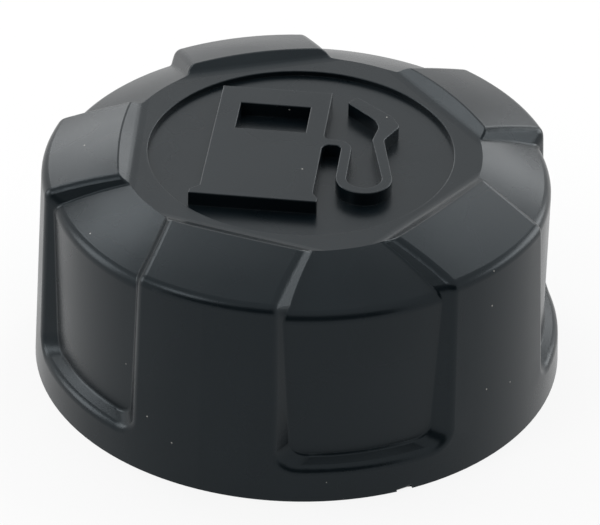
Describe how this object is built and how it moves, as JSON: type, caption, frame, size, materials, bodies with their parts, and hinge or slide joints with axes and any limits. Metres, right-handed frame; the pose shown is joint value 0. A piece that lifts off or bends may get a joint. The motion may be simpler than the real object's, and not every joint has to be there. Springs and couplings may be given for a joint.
{
  "type": "fuel filler cap",
  "caption": "Round screw-on fuel filler cap with moulded grip lugs, a raised pump emblem and a two-way breather valve inside.",
  "frame": {"origin": "centre of the cover's bottom rim, on the surface that the cap stands on", "axes": "+Z along the cap's axis, out of the tank through the emblem; +Y towards the top of the emblem"},
  "size_m": [0.072, 0.072, 0.033],
  "materials": {
    "cover_plastic": "satin moulded black",
    "closure_plastic": "satin moulded black",
    "gasket_rubber": "matt black",
    "valve_plastic": "natural moulded",
    "lid_plastic": "natural moulded",
    "seal_rubber": "matt black",
    "spring_steel": "bright drawn wire",
    "plunger_brass": "turned",
    "clip_steel": "stamped",
    "filter_foam": "open-cell foam",
    "plate_plastic": "natural moulded"
  },
  "bodies": {
    "cap": {"cap_cover": "cover_plastic", "threaded_closure": "closure_plastic", "neck_gasket": "gasket_rubber", "valve_housing": "valve_plastic", "housing_seal": "seal_rubber", "valve_lid": "lid_plastic", "pressure_spring": "spring_steel", "foam_filter": "filter_foam", "splash_baffle": "valve_plastic"},
    "pressure_valve": {"pressure_plate": "plate_plastic", "valve_seal": "seal_rubber", "vacuum_spring": "spring_steel"},
    "vacuum_valve": {"vacuum_plunger": "plunger_brass", "stem_clip": "clip_steel"}
  },
  "joints": [
    {"name": "pressure_valve_lift", "type": "slide", "parent": "cap", "child": "pressure_valve", "axis": [0, 0, 1], "range_m": [0, 0.0014], "stiffness_N_per_m": 400, "springref_m": -0.0012, "deforming": ["pressure_spring"]},
    {"name": "vacuum_valve_drop", "type": "slide", "parent": "pressure_valve", "child": "vacuum_valve", "axis": [0, 0, -1], "range_m": [0, 0.001], "stiffness_N_per_m": 60, "springref_m": -0.001, "deforming": ["vacuum_spring"]}
  ]
}
